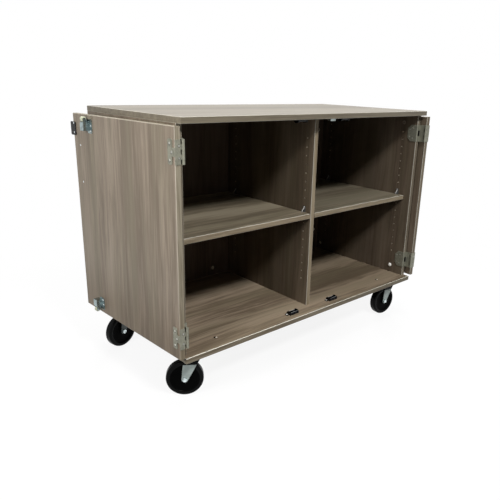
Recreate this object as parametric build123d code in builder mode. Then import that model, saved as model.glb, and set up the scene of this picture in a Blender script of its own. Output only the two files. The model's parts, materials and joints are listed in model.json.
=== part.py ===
"""Mobile storage cabinet for trays, with two folded-back doors, four bays and swivel casters."""
import os
from math import cos, radians, sin
from build123d import *

os.makedirs("parts", exist_ok=True)

# Carcass, in millimetres. X is the width, Y runs from the front to the rear, Z is up from the floor
WIDTH = 1219.2
DEPTH = 603.25
BOX_HEIGHT = 762.0
BOARD = 19.05
EASED = 2.0
FRONT = -301.73
REAR = FRONT + DEPTH
BACK_INSET = 15.9
BACK_INNER = REAR - BACK_INSET - BOARD
DIVIDER_FRONT = FRONT + 60.0

# Casters: overall height, wheel, mounting plate and its four bolts
CASTER_HEIGHT = 161.9
WHEEL_RADIUS = 63.5
WHEEL_WIDTH = 30.2
TRAIL = 27.0
CASTER_X = 541.0
CASTER_FRONT_Y = FRONT + 68.0
CASTER_REAR_Y = FRONT + 543.0
PLATE_LONG = 92.0
PLATE_WIDE = 60.0
PLATE_THICK = 3.0
PLATE_CORNER = 4.0
BOLT_LONG = 76.0
BOLT_WIDE = 45.0
BOLT_RADIUS = 3.0
BOLT_BITE = 15.0
BOLT_HEAD = 6.4
BOLT_HEAD_THICK = 4.5
CASTER_SPOTS = {
    "front_left": (-CASTER_X, CASTER_FRONT_Y, 145.3),
    "front_right": (CASTER_X, CASTER_FRONT_Y, 174.0),
    "rear_left": (-CASTER_X, CASTER_REAR_Y, 192.4),
    "rear_right": (CASTER_X, CASTER_REAR_Y, 168.0),
}
BOTTOM = CASTER_HEIGHT
FLOOR_BOARD = BOTTOM + BOARD
TOP = BOTTOM + BOX_HEIGHT
CEILING = TOP - BOARD

# Shelves stand on clips in two rows of 5 mm bores, 32 mm apart
SHELF_UNDER = BOTTOM + 373.5
SHELF_GAP = 2.4
PIN_PITCH = 32.0
PIN_ROWS = 18
PIN_FIRST = BOTTOM + 125.0
PIN_BORE = 2.5
PIN_DEPTH = 9.0
CLIP_PIN_ROW = 8
ROUND_PIN_ROW = 12
ROW_FRONT = FRONT + 95.25
ROW_REAR = BACK_INNER - 54.0

# Five-knuckle hinges: leaf thickness, barrel, and the pivot seen from the door's outer front edge
LEAF = 2.4
LEAF_GAP = 0.3
BARREL = 4.8
PIN_RADIUS = 2.38
HINGE_HEIGHT = 69.85
KNUCKLES = 5
PIVOT_AHEAD = 7.0
PIVOT_X = WIDTH / 2 - LEAF - LEAF_GAP / 2

# Doors close between the top and bottom, 2 mm behind their front edges, and fold back 267 degrees
FOLD = 267.0
DOOR_RECESS = 2.0
DOOR_GAP = 5.0
MEETING_GAP = 3.0
PIVOT_Y = FRONT + DOOR_RECESS - PIVOT_AHEAD
EDGE = LEAF + LEAF_GAP / 2
DOOR_WIDTH = PIVOT_X - EDGE - MEETING_GAP / 2
FACE = PIVOT_AHEAD
INNER = FACE + BOARD
DOOR_LOW = FLOOR_BOARD + DOOR_GAP
DOOR_HIGH = CEILING - DOOR_GAP
SIDE_FRONT = PIVOT_Y + INNER + 2 * LEAF + LEAF_GAP
HINGE_HIGH = BOTTOM + 667.5
HINGE_LOW = BOTTOM + 95.5

# Pulls, roller catches and the lock, placed by their distance from the pivot along the door.
# The catch of the door with the lock, hand -1, sits a little nearer to its hinges
PULL_AT = 563.0
PULL_MID = BOTTOM + 567.0
PULL_SPAN = 128.0
PULL_WIRE = 4.0
PULL_REACH = 31.75
PULL_BEND = 13.0
CATCH_AT = {1: 502.5, -1: 490.0}
ROLLER_RADIUS = 9.0
ROLLER_WIDTH = 12.0
ROLLER_OUT = 14.0
ROLLER_DROP = 19.0
ROLLER_PIN = 1.5
STRIKE_DROP = 9.6
STRIKE_WIDE = 44.0
LOCK_AT = PIVOT_X - 45.0
LOCK_MID = BOTTOM + 705.0
LOCK_OUT = 12.0
PLUG_RADIUS = 6.5
RUNNING_FIT = 0.05

# Small repeated bores and pins have a few flat sides; bores are drawn round their radius, pins inside
BORE_SIDES = 6
PIN_SIDES = 12
RING_SIDES = 16
HEX_SIDES = 6

# Corners cut off pressed plates, and how far a cut runs past the face that it opens
CORNER = 3.0
CUT = 1.0


def write(piece, name):
    """Label one finished piece and write its STEP file."""
    piece.label = name
    export_step(piece, f"parts/{name}.step")


def hinge_plane(hand, turn, height=0.0):
    """Frame on a hinge pivot: x along the door to its free edge, z up; hand is 1 left, -1 right."""
    angle = radians(turn)
    along = (hand * cos(angle), sin(angle), 0)
    return Plane(origin=(-hand * PIVOT_X, PIVOT_Y, height), x_dir=along, z_dir=(0, 0, 1))


def door_plane(hand, height=0.0):
    """Frame of a door that is folded back; its thickness runs along y times hand."""
    return hinge_plane(hand, -FOLD, height)


def face_plane(hand, along, depth, height):
    """Plane flat on a folded door, x up and z out of its inner face, at one point of the door."""
    door = door_plane(hand)
    return Plane(origin=door.from_local_coords((along, hand * depth, height)),
                 x_dir=(0, 0, 1), z_dir=door.y_dir * hand)


def end_plane(hand, along, depth, height):
    """Plane square across a folded door, x up and z along the door to its free edge."""
    door = door_plane(hand)
    return Plane(origin=door.from_local_coords((along, hand * depth, height)),
                 x_dir=(0, 0, 1), z_dir=door.x_dir)


def board(x_range, y_range, z_range, eased=None):
    """Flat board, with its front edges eased where a thick edge band covers them."""
    (x0, x1), (y0, y1), (z0, z1) = x_range, y_range, z_range
    with BuildPart() as made:
        with BuildSketch(Plane.XY.offset(z0)):
            with Locations(((x0 + x1) / 2, (y0 + y1) / 2)):
                Rectangle(x1 - x0, y1 - y0)
        extrude(amount=z1 - z0)
        if eased:
            fillet(eased(made), EASED)
    return made


def all_rim(made):
    """Every edge round a board's top and under faces."""
    return made.edges().filter_by(Axis.Z, reverse=True)


def front_pair(axis):
    """Selector for the two long edges of a board's front face."""
    return lambda made: made.faces().sort_by(Axis.Y)[0].edges().filter_by(axis)


def rod(plane, radius, height, mode=Mode.ADD):
    """Round pin, or a bore where the mode cuts, centred on a plane in the part being built."""
    with BuildSketch(plane) as outline:
        Circle(radius)
    extrude(outline.sketch, amount=height / 2, both=True, mode=mode)


def prism(plane, radius, sides, height, mode=Mode.ADD):
    """Many-sided ring, or the room for one where the mode cuts, centred on a plane like a rod."""
    with BuildSketch(plane) as outline:
        RegularPolygon(radius, sides, major_radius=mode == Mode.ADD)
    extrude(outline.sketch, amount=height / 2, both=True, mode=mode)


bore_heights = [PIN_FIRST + PIN_PITCH * row for row in range(PIN_ROWS)]
round_bore = (ROW_FRONT, bore_heights[ROUND_PIN_ROW])


def bore_rows(x_face, direction, depth, round_too=False):
    """Cut both rows of shelf-pin bores into one face of the board being built."""
    spots = [(y, direction * z) for y in (ROW_FRONT, ROW_REAR) for z in bore_heights]
    if round_too:
        spots.remove((round_bore[0], direction * round_bore[1]))
    with BuildSketch(Plane(origin=(x_face, 0, 0), x_dir=(0, 1, 0), z_dir=(direction, 0, 0))) as bores:
        with Locations(spots):
            RegularPolygon(PIN_BORE, BORE_SIDES, major_radius=False)
        if round_too:
            with Locations((round_bore[0], direction * round_bore[1])):
                Circle(PIN_BORE)
    extrude(bores.sketch, amount=-depth, mode=Mode.SUBTRACT)


# Carcass boards
half = WIDTH / 2
top = board((-half, half), (FRONT, REAR), (CEILING, TOP), all_rim)
write(top.part, "top_panel")

with BuildPart() as bottom:
    with BuildSketch(Plane.XY.offset(BOTTOM)):
        with Locations((0, (FRONT + REAR) / 2)):
            Rectangle(WIDTH, DEPTH)
    extrude(amount=BOARD)
    fillet(all_rim(bottom), EASED)
    with BuildSketch(Plane.XY.offset(BOTTOM)):
        with Locations([spot[:2] for spot in CASTER_SPOTS.values()]):
            with GridLocations(BOLT_LONG, BOLT_WIDE, 2, 2):
                RegularPolygon(BOLT_RADIUS, BORE_SIDES)
    extrude(amount=BOLT_BITE, mode=Mode.SUBTRACT)
write(bottom.part, "bottom_panel")

for name, side in (("left", -1), ("right", 1)):
    outer = side * half
    inner = side * (half - BOARD)
    low_x, high_x = sorted((outer, inner))
    with BuildPart() as side_panel:
        with BuildSketch(Plane.XY.offset(FLOOR_BOARD)):
            with Locations(((low_x + high_x) / 2, (SIDE_FRONT + REAR) / 2)):
                Rectangle(BOARD, REAR - SIDE_FRONT)
        extrude(amount=CEILING - FLOOR_BOARD)
        fillet(front_pair(Axis.Z)(side_panel), EASED)
        bore_rows(inner, -side, PIN_DEPTH, round_too=side < 0)
    write(side_panel.part, f"{name}_side_panel")

back = board((BOARD - half, half - BOARD), (BACK_INNER, BACK_INNER + BOARD), (FLOOR_BOARD, CEILING))
write(back.part, "back_panel")

with BuildPart() as divider:
    with BuildSketch(Plane.XY.offset(FLOOR_BOARD)):
        with Locations((0, (DIVIDER_FRONT + BACK_INNER) / 2)):
            Rectangle(BOARD, BACK_INNER - DIVIDER_FRONT)
    extrude(amount=CEILING - FLOOR_BOARD)
    fillet(front_pair(Axis.Z)(divider), EASED)
    bore_rows(BOARD / 2, 1, BOARD)
write(divider.part, "centre_divider")

bay_near = BOARD / 2
bay_far = half - BOARD
for name, side in (("left", -1), ("right", 1)):
    ends = sorted((side * (bay_near + SHELF_GAP), side * (bay_far - SHELF_GAP)))
    shelf = board(ends, (DIVIDER_FRONT, BACK_INNER - SHELF_GAP), (SHELF_UNDER, SHELF_UNDER + BOARD),
                  front_pair(Axis.X))
    write(shelf.part, f"{name}_shelf")

# Shelf clips: a back plate with two pins, a ledge under the shelf and a locking tongue above it
CLIP_PLATE = 1.8
CLIP_WIDE = 15.0
CLIP_LEDGE = 5.5
CLIP_REACH = 13.0
CLIP_RISE = 29.0
CLIP_NOSE = 2.0
CLIP_PLAY = 0.2
CLIP_PIN = 8.0
CLIP_FIT = 0.1
TONGUE_OUT = 8.0
TONGUE_TIP = (1.6, 3.0)
TONGUE_ROOT = 8.0
TONGUE_THICK = 1.2
clip_pins = [PIN_FIRST + PIN_PITCH * row for row in (CLIP_PIN_ROW, CLIP_PIN_ROW + 1)]
with BuildPart() as clips:
    for x_wall, way in ((-bay_far, 1), (-bay_near, -1), (bay_near, 1), (bay_far, -1)):
        for y in (ROW_FRONT, ROW_REAR):
            section = Plane(origin=(x_wall, y, SHELF_UNDER), x_dir=(way, 0, 0), z_dir=(0, -way, 0))
            with BuildSketch(section):
                with BuildLine():
                    Polyline((0, -CLIP_LEDGE), (CLIP_REACH - CLIP_NOSE, -CLIP_LEDGE),
                             (CLIP_REACH, -CLIP_PLAY), (CLIP_PLATE, -CLIP_PLAY),
                             (CLIP_PLATE, BOARD + 2 * CLIP_PLAY),
                             (CLIP_REACH - TONGUE_OUT, BOARD + 2 * CLIP_PLAY),
                             (CLIP_REACH, BOARD + TONGUE_TIP[0]), (CLIP_REACH, BOARD + TONGUE_TIP[1]),
                             (CLIP_PLATE + TONGUE_THICK, BOARD + TONGUE_ROOT),
                             (CLIP_PLATE, BOARD + CLIP_RISE), (0, BOARD + CLIP_RISE), close=True)
                make_face()
            extrude(amount=CLIP_WIDE / 2, both=True)
            for z in clip_pins:
                with BuildSketch(Plane(origin=(x_wall, y, z), x_dir=(0, 1, 0), z_dir=(way, 0, 0))):
                    RegularPolygon(PIN_BORE - CLIP_FIT, BORE_SIDES)
                extrude(amount=-CLIP_PIN)
write(clips.part, "shelf_clips")

# Round caps over the panel connectors, 34 mm in from the boards that they pull together
CAP_RADIUS = 7.5
CAP_PROUD = 1.4
CAP_INSET = 34.0
CAP_REAR = 24.0
BACK_CAP_X = (95.0, 500.0)
END_CAP_ROWS = (PIN_FIRST, BOTTOM + 639.0)
cap_rows = (FLOOR_BOARD + CAP_INSET, CEILING - CAP_INSET)
back_caps = [(side * x, z) for side in (-1, 1) for x in BACK_CAP_X for z in cap_rows]
back_caps += [(side * (bay_far - CAP_INSET), z) for side in (-1, 1) for z in END_CAP_ROWS]
with BuildPart() as caps:
    for x_face, way in ((-bay_far, 1), (bay_far, -1), (bay_near, 1)):
        for z in cap_rows:
            with BuildSketch(Plane(origin=(x_face, 0, z), x_dir=(0, 1, 0), z_dir=(way, 0, 0))):
                with Locations((ROW_FRONT, 0), (BACK_INNER - CAP_REAR, 0)):
                    RegularPolygon(CAP_RADIUS, PIN_SIDES)
            extrude(amount=CAP_PROUD)
    with BuildSketch(Plane(origin=(0, BACK_INNER, 0), x_dir=(1, 0, 0), z_dir=(0, -1, 0))):
        with Locations(back_caps):
            RegularPolygon(CAP_RADIUS, PIN_SIDES)
    extrude(amount=CAP_PROUD)
write(caps.part, "connector_caps")

# Five-knuckle wrap hinges. Each leaf is a strip bent round its board, with rings on the same pin
BEND = 1.6
SLOT_REACH = 8.6
LEAF_ROOT = 3.4
RING = HINGE_HEIGHT / KNUCKLES
RING_GAP = 0.3
CASE_REACH = 44.0
CASE_CHAMFER = 15.0
WINDOW = (10.0, 22.0)
WINDOW_IN = 8.0
COLUMN_START = 12.0
COLUMN_END = 32.0
COLUMN_HIGH = HINGE_HEIGHT + 2.0
COLUMN_ROUND = 5.0
BRIDGE_HIGH = 24.6
PIN_HEAD = 1.2
PIN_HEAD_RADIUS = 3.3


def rings(plane, own):
    """Add one leaf's rings, cut slots for the other leaf's rings, and bore the rings for the pin."""
    for ring in range(KNUCKLES):
        level = plane.offset((ring - (KNUCKLES - 1) / 2) * RING)
        if ring in own:
            prism(level, BARREL, RING_SIDES, RING - RING_GAP)
        else:
            prism(level, SLOT_REACH, BORE_SIDES, RING + RING_GAP, Mode.SUBTRACT)
    rod(plane, PIN_RADIUS + RUNNING_FIT, HINGE_HEIGHT, Mode.SUBTRACT)


def case_leaf(hand, height):
    """Leaf on the cabinet: out from the pin, across the side panel's front edge and back inside."""
    plane = hinge_plane(hand, 0, height)
    across = SIDE_FRONT - PIVOT_Y - LEAF / 2
    inside = BOARD - EDGE + LEAF / 2
    outside = LEAF / 2 - EDGE
    tail = across + LEAF / 2 + CASE_REACH
    with BuildPart() as leaf:
        with BuildSketch(plane.offset(-HINGE_HEIGHT / 2)):
            with BuildLine():
                FilletPolyline((outside, hand * LEAF_ROOT), (outside, hand * across),
                               (inside, hand * across), (inside, hand * tail), radius=BEND)
            trace(line_width=LEAF)
        extrude(amount=HINGE_HEIGHT)
        chamfer(leaf.faces().sort_by(Axis.Y)[-1].edges().filter_by(Axis.X), length=CASE_CHAMFER)
        centre = plane.from_local_coords((inside - LEAF / 2 - WINDOW_IN, hand * across, 0))
        with BuildSketch(Plane(origin=centre, x_dir=(1, 0, 0), z_dir=(0, 1, 0))):
            Rectangle(*WINDOW)
        extrude(amount=LEAF, both=True, mode=Mode.SUBTRACT)
        rings(plane, (0, 2, 4))
    return leaf.part


def door_leaf(hand, height):
    """Leaf on the door: a column on its hinge edge, and a bridge to a column on its inner face."""
    plane = door_plane(hand, height)
    middle = LEAF / 2 + LEAF_GAP / 2
    inner = INNER + LEAF / 2
    column = EDGE + (COLUMN_START + COLUMN_END) / 2
    with BuildPart() as leaf:
        with BuildSketch(plane.offset(-BRIDGE_HIGH / 2)):
            with BuildLine():
                FilletPolyline((middle, hand * LEAF_ROOT), (middle, hand * inner),
                               (column, hand * inner), radius=BEND)
            trace(line_width=LEAF)
        extrude(amount=BRIDGE_HIGH)
        with BuildSketch(plane.offset(-HINGE_HEIGHT / 2)):
            with Locations((middle, hand * (LEAF_ROOT + INNER) / 2)):
                Rectangle(LEAF, INNER - LEAF_ROOT)
        extrude(amount=HINGE_HEIGHT)
        with BuildSketch(face_plane(hand, column, INNER, height)):
            RectangleRounded(COLUMN_HIGH, COLUMN_END - COLUMN_START, COLUMN_ROUND)
        extrude(amount=LEAF)
        rings(plane, (1, 3))
    return leaf.part


HINGE_ROWS = {"upper": HINGE_HIGH, "lower": HINGE_LOW}
for side_name, hand in (("left", 1), ("right", -1)):
    for place, height in HINGE_ROWS.items():
        write(case_leaf(hand, height), f"{side_name}_{place}_case_leaf")
        write(door_leaf(hand, height), f"{side_name}_{place}_door_leaf")

with BuildPart() as pins:
    for hand in (1, -1):
        for height in HINGE_ROWS.values():
            rod(hinge_plane(hand, 0, height), PIN_RADIUS, HINGE_HEIGHT)
            for way in (1, -1):
                with BuildSketch(hinge_plane(hand, 0, height + way * (HINGE_HEIGHT - RING_GAP) / 2)):
                    Circle(PIN_HEAD_RADIUS)
                extrude(amount=way * PIN_HEAD)
write(pins.part, "hinge_pins")

# Doors, folded back against the sides; the right one is bored for the lock
SLEEVE_RADIUS = 9.5
for side_name, hand in (("left", 1), ("right", -1)):
    with BuildPart() as door:
        with BuildSketch(door_plane(hand, DOOR_LOW)):
            with Locations((EDGE + DOOR_WIDTH / 2, hand * (FACE + BOARD / 2))):
                Rectangle(DOOR_WIDTH, BOARD)
        extrude(amount=DOOR_HIGH - DOOR_LOW)
        through = Axis((0, 0, 0), door_plane(hand).y_dir)
        fillet(door.edges().filter_by(through, reverse=True), EASED)
        if hand < 0:
            with BuildSketch(face_plane(hand, LOCK_AT, FACE, LOCK_MID)):
                Circle(SLEEVE_RADIUS)
            extrude(amount=BOARD, mode=Mode.SUBTRACT)
    write(door.part, f"{side_name}_door")

# Wire pulls: a round bar bent square to the door at both ends
for side_name, hand in (("left", 1), ("right", -1)):
    reach = hand * (PULL_REACH - PULL_WIRE)
    foot = end_plane(hand, PULL_AT, FACE, PULL_MID)
    with BuildPart() as pull:
        with BuildLine(foot):
            FilletPolyline((-PULL_SPAN / 2, 0), (-PULL_SPAN / 2, reach),
                           (PULL_SPAN / 2, reach), (PULL_SPAN / 2, 0), radius=PULL_BEND)
        with BuildSketch(face_plane(hand, PULL_AT, FACE, PULL_MID - PULL_SPAN / 2)):
            RegularPolygon(PULL_WIRE, PIN_SIDES)
        sweep()
    write(pull.part, f"{side_name}_pull")

# Plate on the left door that laps behind the right one, set back a little where it overhangs
LAP_NEAR = 586.5
LAP_FAR = 620.5
LAP_LOW = BOTTOM + 663.0
LAP_HIGH = BOTTOM + 709.0
LAP_THICK = 3.0
LAP_STEP = 0.6
with BuildPart() as lap:
    with BuildSketch(face_plane(1, (LAP_NEAR + LAP_FAR) / 2, INNER, (LAP_LOW + LAP_HIGH) / 2)):
        chamfer(Rectangle(LAP_HIGH - LAP_LOW, LAP_FAR - LAP_NEAR).vertices(), length=CORNER)
    extrude(amount=LAP_THICK)
    overhang = EDGE + DOOR_WIDTH - EASED
    with BuildSketch(face_plane(1, (overhang + LAP_FAR + CUT) / 2, INNER, (LAP_LOW + LAP_HIGH) / 2)):
        Rectangle(LAP_HIGH - LAP_LOW + 2 * CUT, LAP_FAR + CUT - overhang)
    extrude(amount=LAP_STEP, mode=Mode.SUBTRACT)
write(lap.part, "door_keeper_plate")

# Roller catches: a box on a slotted base, a sprung plunger with two cheeks, and a nylon roller
BASE_HIGH = 46.0
BASE_WIDE = 29.0
BASE_THICK = 1.6
BASE_DROP = 42.0
BASE_SHIFT = 17.0
BASE_SLOT = (9.0, 4.4)
SLOT_INSET = 6.0
SLOT_SHIFT = 7.0
BOX_TOP = 31.0
BOX_LONG = 26.0
BOX_WIDE = 24.0
BOX_DEEP = 21.0
BOX_WALL = 1.7
SLIDE_GAP = 0.3
PLUNGER_TOP = 29.0
PLUNGER_LONG = 19.0
CHEEK = 2.2
CHEEK_GAP = 0.5
CHEEK_END = 5.0
CHEEK_ROOT = 0.4


def catch_housing(hand, way, limit):
    """Base plate and open box; drops are measured from the board that the roller works against."""
    with BuildPart() as housing:
        with BuildSketch(face_plane(hand, CATCH_AT[hand] - BASE_SHIFT, INNER, limit - way * BASE_DROP)):
            chamfer(Rectangle(BASE_HIGH, BASE_WIDE).vertices(), length=CORNER)
            with GridLocations(BASE_HIGH - 2 * SLOT_INSET, 1, 2, 1):
                with Locations((0, -hand * SLOT_SHIFT)):
                    Rectangle(*BASE_SLOT, mode=Mode.SUBTRACT)
        extrude(amount=BASE_THICK)
        with BuildSketch(door_plane(hand, limit - way * BOX_TOP)):
            with Locations((CATCH_AT[hand], hand * (INNER + BOX_DEEP / 2))):
                Rectangle(BOX_WIDE, BOX_DEEP)
        extrude(amount=-way * BOX_LONG)
        with BuildSketch(door_plane(hand, limit - way * BOX_TOP)):
            with Locations((CATCH_AT[hand], hand * (INNER + BOX_DEEP / 2))):
                Rectangle(BOX_WIDE - 2 * BOX_WALL, BOX_DEEP - 2 * BOX_WALL)
        extrude(amount=-way * (BOX_LONG - BOX_WALL), mode=Mode.SUBTRACT)
    return housing.part


def catch_plunger(hand, way, limit):
    """Block that slides in the box, with two cheeks and the roller's pin."""
    block_deep = BOX_DEEP - 2 * (BOX_WALL + SLIDE_GAP)
    middle = BOX_DEEP / 2 - ROLLER_OUT
    with BuildPart() as plunger:
        with BuildSketch(door_plane(hand, limit - way * PLUNGER_TOP)):
            with Locations((CATCH_AT[hand], hand * (INNER + BOX_DEEP / 2))):
                Rectangle(BOX_WIDE - 2 * (BOX_WALL + SLIDE_GAP), block_deep)
        extrude(amount=-way * PLUNGER_LONG)
        for end in (-1, 1):
            at = CATCH_AT[hand] + end * (ROLLER_WIDTH / 2 + CHEEK_GAP)
            with BuildSketch(end_plane(hand, at, INNER + ROLLER_OUT, limit - way * ROLLER_DROP)):
                RegularPolygon(CHEEK_END, PIN_SIDES)
                with Locations((-way * (PLUNGER_TOP - ROLLER_DROP), -hand * middle)):
                    Rectangle(CHEEK_ROOT, block_deep)
                make_hull()
            extrude(amount=end * CHEEK)
        rod(end_plane(hand, CATCH_AT[hand], INNER + ROLLER_OUT, limit - way * ROLLER_DROP),
            ROLLER_PIN, ROLLER_WIDTH + 2 * CHEEK_GAP + CHEEK)
    return plunger.part


def catch_roller(hand, way, limit):
    """Nylon roller, bored for its pin."""
    with BuildPart() as roller:
        with BuildSketch(end_plane(hand, CATCH_AT[hand], INNER + ROLLER_OUT, limit - way * ROLLER_DROP)):
            Circle(ROLLER_RADIUS)
            Circle(ROLLER_PIN + RUNNING_FIT, mode=Mode.SUBTRACT)
        extrude(amount=ROLLER_WIDTH / 2, both=True)
    return roller.part


for side_name, hand in (("left", 1), ("right", -1)):
    for place, way, limit in (("upper", 1, CEILING), ("lower", -1, FLOOR_BOARD)):
        write(catch_housing(hand, way, limit), f"{side_name}_{place}_catch_housing")
        write(catch_plunger(hand, way, limit), f"{side_name}_{place}_catch_plunger")
        write(catch_roller(hand, way, limit), f"{side_name}_{place}_catch_roller")

# Strikes that the rollers snap over: two ribs with a hollow between them, and a screw tab
STRIKE_FRONT = FRONT + 28.0
STRIKE_DEEP = 22.0
STRIKE_LIP = 4.0
STRIKE_BACK = 6.0
STRIKE_HOLLOW = 6.5
FRONT_RIB = (3.0, 5.5)
REAR_RIB = (16.5, 20.0)
HOLLOW = (9.0, 13.0)
TAB_LONG = 10.0
TAB_WIDE = 15.0
TAB_THICK = 2.6
TAB_SET = 14.5
TAB_BORE = 2.0
with BuildPart() as strikes:
    for way, limit in ((1, CEILING), (-1, FLOOR_BOARD)):
        for hand, at in CATCH_AT.items():
            x = -hand * (PIVOT_X - at)
            section = Plane(origin=(x, STRIKE_FRONT, limit), x_dir=(0, 1, 0), z_dir=(1, 0, 0))
            with BuildSketch(section):
                with BuildLine():
                    Polyline((0, 0), (STRIKE_DEEP, 0), (STRIKE_DEEP, -way * STRIKE_BACK),
                             (REAR_RIB[1], -way * STRIKE_DROP), (REAR_RIB[0], -way * STRIKE_DROP),
                             (HOLLOW[1], -way * STRIKE_HOLLOW), (HOLLOW[0], -way * STRIKE_HOLLOW),
                             (FRONT_RIB[1], -way * STRIKE_DROP), (FRONT_RIB[0], -way * STRIKE_DROP),
                             (0, -way * STRIKE_LIP), close=True)
                make_face()
            extrude(amount=STRIKE_WIDE / 2, both=True)
            with BuildSketch(Plane.XY.offset(limit)):
                with Locations((x - (STRIKE_WIDE + TAB_LONG) / 2, STRIKE_FRONT + TAB_SET)):
                    Rectangle(TAB_LONG, TAB_WIDE)
                    RegularPolygon(TAB_BORE, BORE_SIDES, mode=Mode.SUBTRACT)
            extrude(amount=-way * TAB_THICK)
write(strikes.part, "catch_strikes")

# Lock: keeper under the top, case with its sleeve through the right door, plug and sliding bolt
KEEPER_X = PIVOT_X - LOCK_AT
KEEPER_DROP = 9.5
KEEPER_SIZE = (26.0, 18.0)
KEEPER_POCKET = (20.0, 9.0)
KEEPER_ROOF = 2.0
KEEPER_CORNER = 1.5
CASE_HIGH = 50.0
CASE_WIDE = 40.0
CASE_DEEP = 17.0
FLANGE = 2.2
FLANGE_RADIUS = SLEEVE_RADIUS + 2.5
BOLT_WIDTH = 14.0
BOLT_THICK = 6.0
BOLT_LOW = BOTTOM + 702.5
BOLT_TIP = BOTTOM + 732.5
PLUG_END = 8.0
PLUG_PROUD = 1.2
END_PLAY = 0.5
KEYWAY = (8.0, 1.6)
KEYWAY_DEEP = 4.0
BOLT_EASE = 1.0
lock_top = LOCK_MID + CASE_HIGH / 2
with BuildPart() as keeper:
    with BuildSketch(Plane.XY.offset(CEILING)):
        with Locations((KEEPER_X, PIVOT_Y + INNER + LOCK_OUT)):
            chamfer(Rectangle(*KEEPER_SIZE).vertices(), length=KEEPER_CORNER)
    extrude(amount=-KEEPER_DROP)
    with BuildSketch(Plane.XY.offset(CEILING - KEEPER_DROP)):
        with Locations((KEEPER_X, PIVOT_Y + INNER + LOCK_OUT)):
            Rectangle(*KEEPER_POCKET)
    extrude(amount=KEEPER_DROP - KEEPER_ROOF, mode=Mode.SUBTRACT)
write(keeper.part, "lock_keeper")

with BuildPart() as lock_case:
    with BuildSketch(face_plane(-1, LOCK_AT, INNER, LOCK_MID)):
        chamfer(Rectangle(CASE_HIGH, CASE_WIDE).vertices(), length=CORNER)
    extrude(amount=CASE_DEEP)
    with BuildSketch(face_plane(-1, LOCK_AT, FACE, LOCK_MID)):
        Circle(SLEEVE_RADIUS)
    extrude(amount=BOARD)
    with BuildSketch(face_plane(-1, LOCK_AT, FACE, LOCK_MID)):
        Circle(FLANGE_RADIUS)
    extrude(amount=-FLANGE)
    with BuildSketch(face_plane(-1, LOCK_AT, FACE - FLANGE, LOCK_MID)):
        Circle(PLUG_RADIUS + RUNNING_FIT)
    extrude(amount=FLANGE + BOARD + PLUG_END + END_PLAY, mode=Mode.SUBTRACT)
    with BuildSketch(door_plane(-1, lock_top)):
        with Locations((LOCK_AT, -(INNER + LOCK_OUT))):
            Rectangle(BOLT_WIDTH + 2 * SLIDE_GAP, BOLT_THICK + 2 * SLIDE_GAP)
    extrude(amount=-(lock_top - BOLT_LOW + END_PLAY), mode=Mode.SUBTRACT)
write(lock_case.part, "lock_case")

with BuildPart() as plug:
    with BuildSketch(face_plane(-1, LOCK_AT, FACE - FLANGE - PLUG_PROUD, LOCK_MID)):
        Circle(PLUG_RADIUS)
    extrude(amount=FLANGE + PLUG_PROUD + BOARD + PLUG_END)
    with BuildSketch(face_plane(-1, LOCK_AT, FACE - FLANGE - PLUG_PROUD, LOCK_MID)):
        Rectangle(*KEYWAY)
    extrude(amount=KEYWAY_DEEP, mode=Mode.SUBTRACT)
write(plug.part, "lock_cylinder")

with BuildPart() as bolt:
    with BuildSketch(door_plane(-1, BOLT_LOW)):
        with Locations((LOCK_AT, -(INNER + LOCK_OUT))):
            Rectangle(BOLT_WIDTH, BOLT_THICK)
    extrude(amount=BOLT_TIP - BOLT_LOW)
    chamfer(bolt.faces().sort_by(Axis.Z)[-1].edges(), length=BOLT_EASE)
write(bolt.part, "lock_bolt")

# Swivel casters: plate with its raceway and kingpin, fork with tapered legs, wheel and axle bolt
RACE_RADIUS = 26.0
RACE_HIGH = 8.0
RACE_GAP = 0.4
KINGPIN = 6.0
KINGPIN_HEAD = 9.0
KINGPIN_HEAD_THICK = 3.0
CROWN_LONG = 64.0
CROWN_THICK = 3.0
LEG_THICK = 2.6
LEG_CLEAR = 2.0
LEG_END = 11.0
AXLE = 5.0
HUB_RADIUS = 14.0
HUB_GAP = 0.4
HUB_BORE = AXLE + RUNNING_FIT
TREAD_EASE = 3.5
DISC_DEPTH = 5.0
RIM_RADIUS = 50.0
HEX_RADIUS = 8.5
HEX_THICK = 5.0
leg_inside = WHEEL_WIDTH / 2 + LEG_CLEAR
leg_outside = leg_inside + LEG_THICK
crown_top = BOTTOM - PLATE_THICK - RACE_HIGH - RACE_GAP
crown_low = crown_top - CROWN_THICK

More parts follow.
